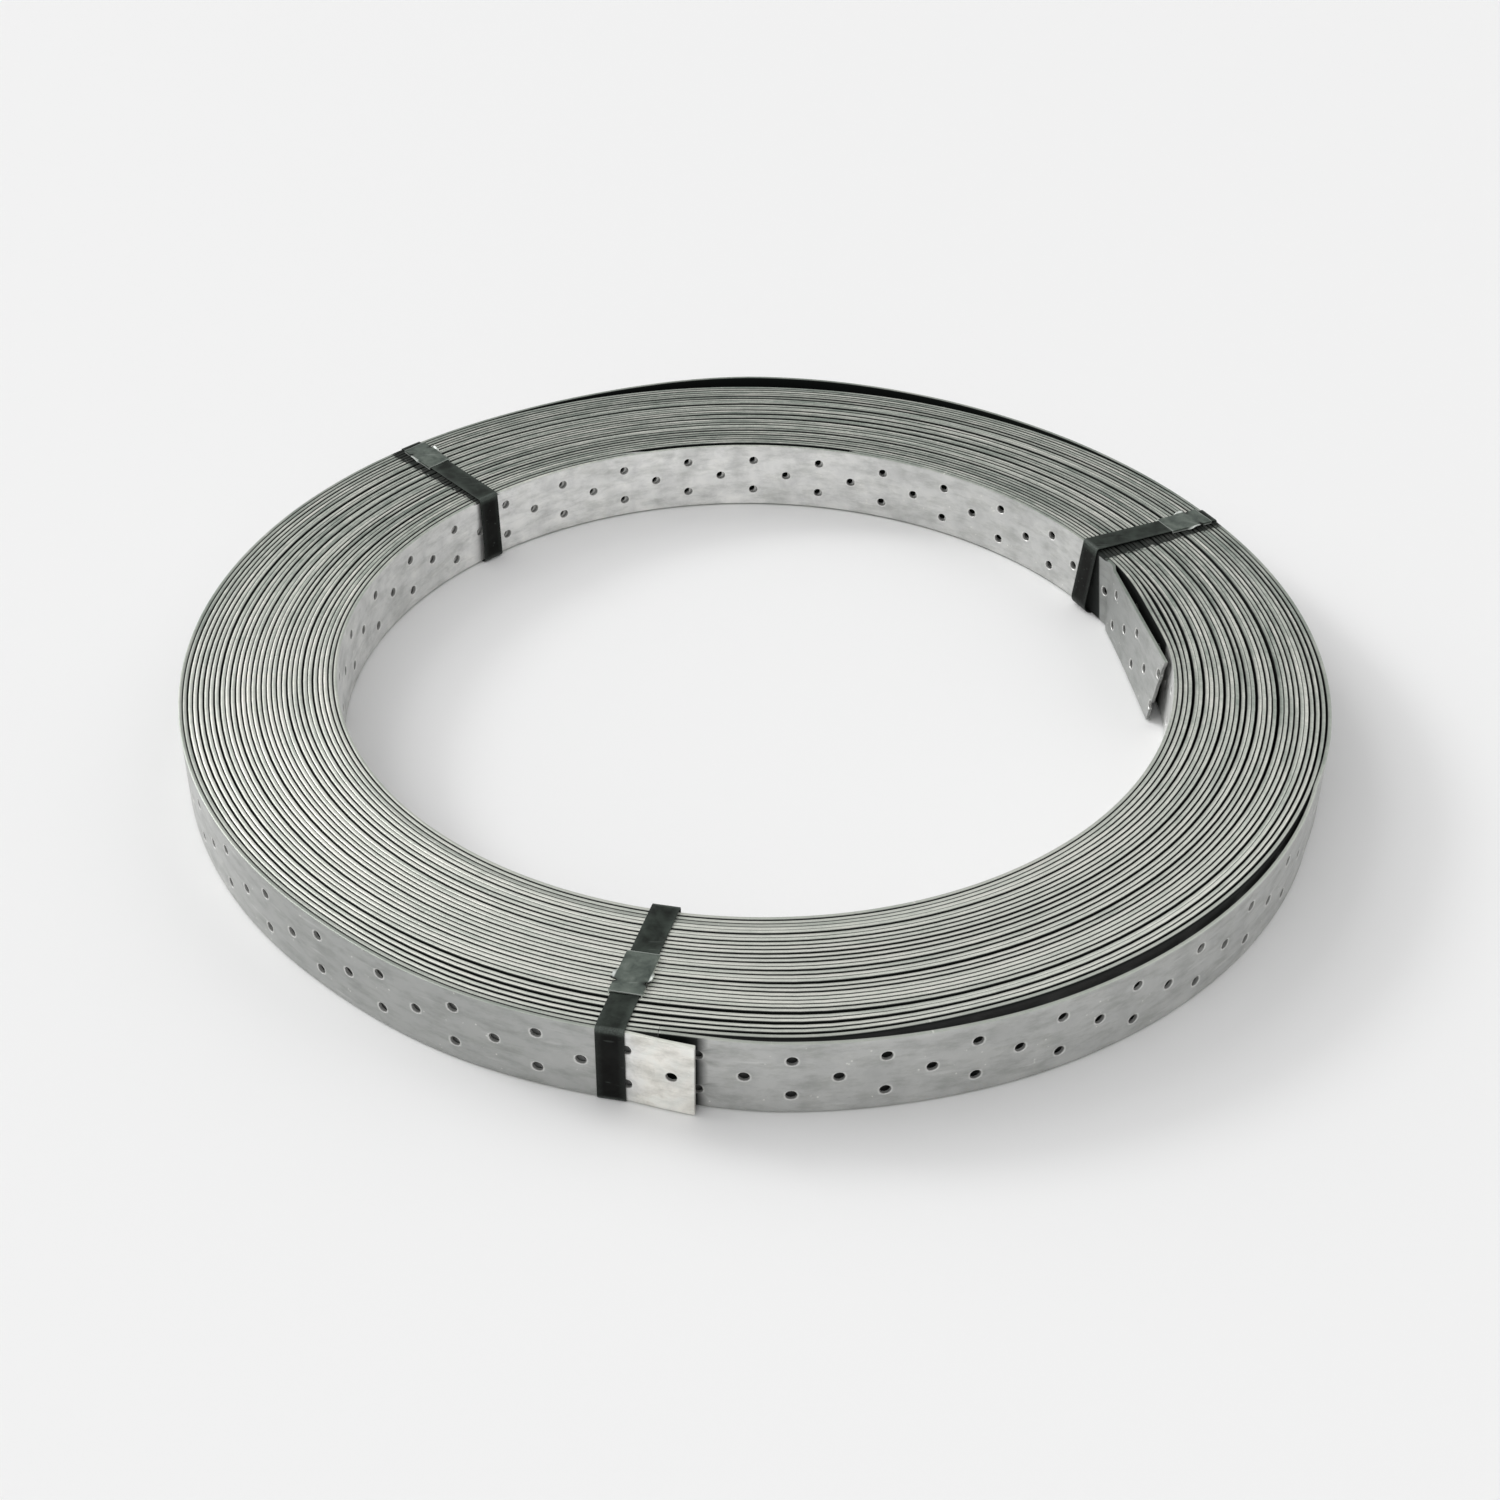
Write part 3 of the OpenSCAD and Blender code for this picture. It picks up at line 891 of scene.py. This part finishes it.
def varnish_finish():
    """Black varnish with a soft sheen, painted lighter on top as painted sheen and darker on the walls
    as painted shade, and rubbed through to the steel at the edges and sharp bends.
    """
    material, tree, shader = new_material("black_varnish")
    where = add_node(tree, "TexCoord").outputs["Object"]
    marks = wear(tree, where, 90, 1400, 500)
    # Painted light: the walls get a darker copy of the varnish and the top a lighter one.
    on_wall = ramp(tree, marks["Clouds"], (0.35, (0.004, 0.004, 0.0035)), (0.65, (0.01, 0.011, 0.01)))
    on_top = ramp(tree, marks["Clouds"], (0.35, (0.016, 0.018, 0.016)), (0.65, (0.045, 0.055, 0.047)))
    height = add_node(tree, "SeparateXYZ", Vector=where).outputs["Z"]
    high = add_node(tree, "MapRange", Value=height, From_Min=COIL_TOP - 2.8 * MM,
                    From_Max=COIL_TOP - 0.6 * MM)
    colour = blend(tree, high.outputs[0], on_wall, on_top)
    rubbed = math_node(tree, "MAXIMUM", math_node(tree, "MULTIPLY", face_marks(tree, "bent"), 0.5),
                       math_node(tree, "MULTIPLY", face_marks(tree, "slit_edge"), 0.25))
    rubbed = math_node(tree, "MULTIPLY", rubbed, marks["Grain"])
    rubbed = math_node(tree, "MAXIMUM", rubbed, math_node(tree, "MULTIPLY", marks["Scratches"], 0.12))
    colour = blend(tree, rubbed, colour, (0.22, 0.25, 0.23, 1))
    tree.links.new(colour, shader.inputs["Base Color"])
    rough = add_node(tree, "MapRange", Value=marks["Clouds"], To_Min=0.28, To_Max=0.5)
    tree.links.new(rough.outputs[0], shader.inputs["Roughness"])
    bumps = math_node(tree, "ADD", math_node(tree, "MULTIPLY", marks["Grain"], 0.1), marks["Clouds"])
    tree.links.new(lift(tree, bumps, 0.3, 0.5 * MM), shader.inputs["Normal"])
    shader.inputs["Specular IOR Level"].default_value = 0.07
    return material


varnish = varnish_finish()

# How far each band is off to the side at the bore and at the outer wall.
FRONT_DRIFT = (2.2 * MM, -3.2 * MM)
LEFT_DRIFT = (4.7 * MM, -1.3 * MM)
RIGHT_DRIFT = (1 * MM, -1.5 * MM)
front_seal_r = packing_band("band_front", FRONT_ANGLE, FRONT_DRIFT, 36.2 * MM, 1 * MM, 0)
left_seal_r = packing_band("band_back_left", LEFT_ANGLE, LEFT_DRIFT, 18 * MM, 1.5 * MM, 0.9 * MM)
right_seal_r = packing_band("band_back_right", RIGHT_ANGLE, RIGHT_DRIFT, 18 * MM, 5 * MM, 1.4 * MM)

# ---------------------------------------------------------------------------------------------------
# Seals: a sleeve of zinc-coated sheet, 27 x 16 mm, folded round the lapped ends of a band and crimped
# once from each side, so that a flap stands up between a nick and a crease.
SEAL_W = 16 * MM
SEAL_T = 0.5 * MM
SEAL_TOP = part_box("seal_front")[1].z
SEAL_HALF = SEAL_W / 2 - SEAL_T
SEAL_SKIRT = 1.5 * MM
SEAL_CELL = 0.5 * MM
NICK_DEPTH = 1.1 * MM
PRESS = 0.3 * MM
FOLD = math.radians(86)
FLAP_RISE = math.radians(24)
DENTS = 110

# Where along a seal its flap curls up and where the nick cuts it off, as shares of the length.
FLAP_START = 0.36
FLAP_CURL = 0.22
NICK = 0.7
NICK_W = 0.045


def seal_sheet():
    """The flat sheet of a seal, centred on the origin, with a nick in each long side."""
    bm = bmesh.new()
    width = 2 * (SEAL_HALF + SEAL_SKIRT)
    bmesh.ops.create_grid(bm, x_segments=round(SEAL_L / SEAL_CELL), y_segments=round(width / SEAL_CELL),
                          size=0.5)
    bmesh.ops.scale(bm, vec=(SEAL_L, width, 1), verts=bm.verts[:])
    nick = [f for f in bm.faces
            if 0 < f.calc_center_median().x / SEAL_L + 0.5 - NICK < NICK_W
            and abs(f.calc_center_median().y) > SEAL_HALF - NICK_DEPTH]
    bmesh.ops.delete(bm, geom=nick, context="FACES")
    return bm


def crimped_seal(name, angle, drift, seal_r, crumple):
    """A sleeve on a band: the skirts of its sheet are folded down, except where the flaps stand up,
    and it gets its thickness. crumple is how far its dents go.
    """
    bm = seal_sheet()
    edge, nick_shade = [bm.verts.layers.float.new(layer) for layer in ("slit_edge", "in_gap")]
    for v in bm.verts:
        share = v.co.x / SEAL_L + 0.5
        over = max(0, abs(v.co.y) - SEAL_HALF)
        at_side = (abs(v.co.y) / SEAL_HALF) ** 4
        flap = smooth((share - FLAP_START) / FLAP_CURL) * (share < NICK + 0.02)
        fold = FOLD * (1 - flap) - FLAP_RISE * flap
        pressed = math.exp(-((share - NICK) / 0.07) ** 2) * at_side * (1 - flap)
        cut_end = 0.6 * (min(share, 1 - share) < 0.01)
        down = over / SEAL_SKIRT
        # The edge mark is partly bright cut metal and partly painted highlight on the folds and curled
        # flaps; the nick mark is painted shade.
        v[edge] = max(cut_end, smooth(down * 1.6 - 0.6), flap * smooth(down * 3))
        v[nick_shade] = min(1, 1.8 * math.exp(-((share - NICK - 0.03) / NICK_W) ** 2) * at_side)
        dent = noise.noise(Vector((v.co.x, v.co.y, seal_r)) * DENTS)
        y = math.copysign(min(abs(v.co.y), SEAL_HALF) + over * math.cos(fold), v.co.y)
        v.co = (v.co.x, y, -over * math.sin(fold) - PRESS * pressed + crumple * dent)
    bmesh.ops.recalc_face_normals(bm, faces=bm.faces[:])
    bmesh.ops.solidify(bm, geom=bm.faces[:], thickness=SEAL_T)
    top = max(v.co.z for v in bm.verts)
    for v in bm.verts:
        x, across, z = v.co
        v.co = on_band(angle, drift, seal_r + x, across, SEAL_TOP - top + z)
    piece = finish_mesh(name + "_sleeve", bm, 0.9)
    piece.data.materials.append(seal_zinc)
    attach(piece, "root")
    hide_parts(name)


def seal_finish():
    """Grey-green zinc coating on sheet steel, scuffed, and bright where it is cut and curled, partly as
    painted highlight, with painted shade at the nicks.
    """
    material, tree, shader = new_material("seal_zinc")
    where = add_node(tree, "TexCoord").outputs["Object"]
    marks = wear(tree, where, 160, 1500, 500)
    colour = ramp(tree, marks["Clouds"], (0.3, (0.085, 0.105, 0.092)), (0.55, (0.16, 0.19, 0.165)),
                  (0.75, (0.24, 0.27, 0.24)))
    # The cut edges and curls are bright, partly bare metal and partly painted highlight.
    colour = blend(tree, face_marks(tree, "slit_edge"), colour, (0.78, 0.82, 0.78, 1))
    colour = blend(tree, math_node(tree, "MULTIPLY", marks["Scratches"], 0.3), colour, (0.5, 0.54, 0.5, 1))
    # Painted shade at the nicks.
    colour = blend(tree, face_marks(tree, "in_gap"), colour, (0.006, 0.007, 0.006, 1))
    tree.links.new(colour, shader.inputs["Base Color"])
    rough = add_node(tree, "MapRange", Value=marks["Clouds"], To_Min=0.3, To_Max=0.5)
    tree.links.new(rough.outputs[0], shader.inputs["Roughness"])
    bumps = math_node(tree, "ADD", math_node(tree, "MULTIPLY", marks["Grain"], 0.1), marks["Clouds"])
    tree.links.new(lift(tree, bumps, 0.35, 0.6 * MM), shader.inputs["Normal"])
    shader.inputs["Metallic"].default_value = 0.55
    return material


seal_zinc = seal_finish()
crimped_seal("seal_front", FRONT_ANGLE, FRONT_DRIFT, front_seal_r, 0.1 * MM)
crimped_seal("seal_back_left", LEFT_ANGLE, LEFT_DRIFT, left_seal_r, 0.4 * MM)
crimped_seal("seal_back_right", RIGHT_ANGLE, RIGHT_DRIFT, right_seal_r, 0.4 * MM)

# ---------------------------------------------------------------------------------------------------
# The floor, the light and the camera. The floor is pale, the world lights the coil softly and looks
# as pale as the floor to the camera, and five lamps stand for a soft studio.
bpy.ops.mesh.primitive_plane_add(size=20)
floor = bpy.context.object
floor.name = "floor"
paper, _, paper_shader = new_material("paper")
paper_shader.inputs["Base Color"].default_value = (0.9, 0.9, 0.9, 1)
paper_shader.inputs["Roughness"].default_value = 0.9
floor.data.materials.append(paper)

world = bpy.data.worlds.new("studio")
bpy.context.scene.world = world
world.use_nodes = True
sky = world.node_tree.nodes["Background"]
sky.inputs["Color"].default_value = (1, 1, 1, 1)
to_camera = add_node(world.node_tree, "LightPath").outputs["Is Camera Ray"]
brightness = add_node(world.node_tree, "MapRange", Value=to_camera, To_Min=0.32, To_Max=0.88)
world.node_tree.links.new(brightness.outputs[0], sky.inputs["Strength"])


def soft_light(name, azimuth, height, spread, strength):
    """An even light from an azimuth and a height in degrees, softer the wider its spread."""
    data = bpy.data.lights.new(name, "SUN")
    data.angle = math.radians(spread)
    data.energy = strength
    lamp = bpy.data.objects.new(name, data)
    bpy.context.scene.collection.objects.link(lamp)
    up = math.radians(height)
    lamp.location = polar(math.cos(up), azimuth) + Vector((0, 0, math.sin(up)))
    lamp.rotation_euler = lamp.location.to_track_quat("Z", "Y").to_euler()


soft_light("left_lamp", 150, 32, 50, 1.25)
soft_light("left_spot", 152, 28, 14, 0.8)
soft_light("top_lamp", -150, 60, 50, 0.55)
soft_light("front_lamp", -80, 30, 60, 0.45)
soft_light("right_lamp", 30, 38, 60, 0.55)

CAMERA_RISE = math.radians(36.4)
CAMERA_ROLL = math.radians(0.8)
CAMERA_DISTANCE = 1165.5 * MM
CAMERA_AIM = Vector((AXIS.x - 1.84 * MM, AXIS.y - 38.6 * MM, 0))
camera_data = bpy.data.cameras.new("camera")
camera_data.sensor_width = 36
camera_data.lens = 53.08728
camera = bpy.data.objects.new("camera", camera_data)
bpy.context.scene.collection.objects.link(camera)
camera.location = CAMERA_AIM + CAMERA_DISTANCE * Vector((0, -math.cos(CAMERA_RISE), math.sin(CAMERA_RISE)))
camera.rotation_euler = (Matrix.Rotation(math.pi / 2 - CAMERA_RISE, 3, "X")
                         @ Matrix.Rotation(CAMERA_ROLL, 3, "Z")).to_euler()
bpy.context.scene.camera = camera
bpy.context.scene.view_settings.view_transform = "Standard"
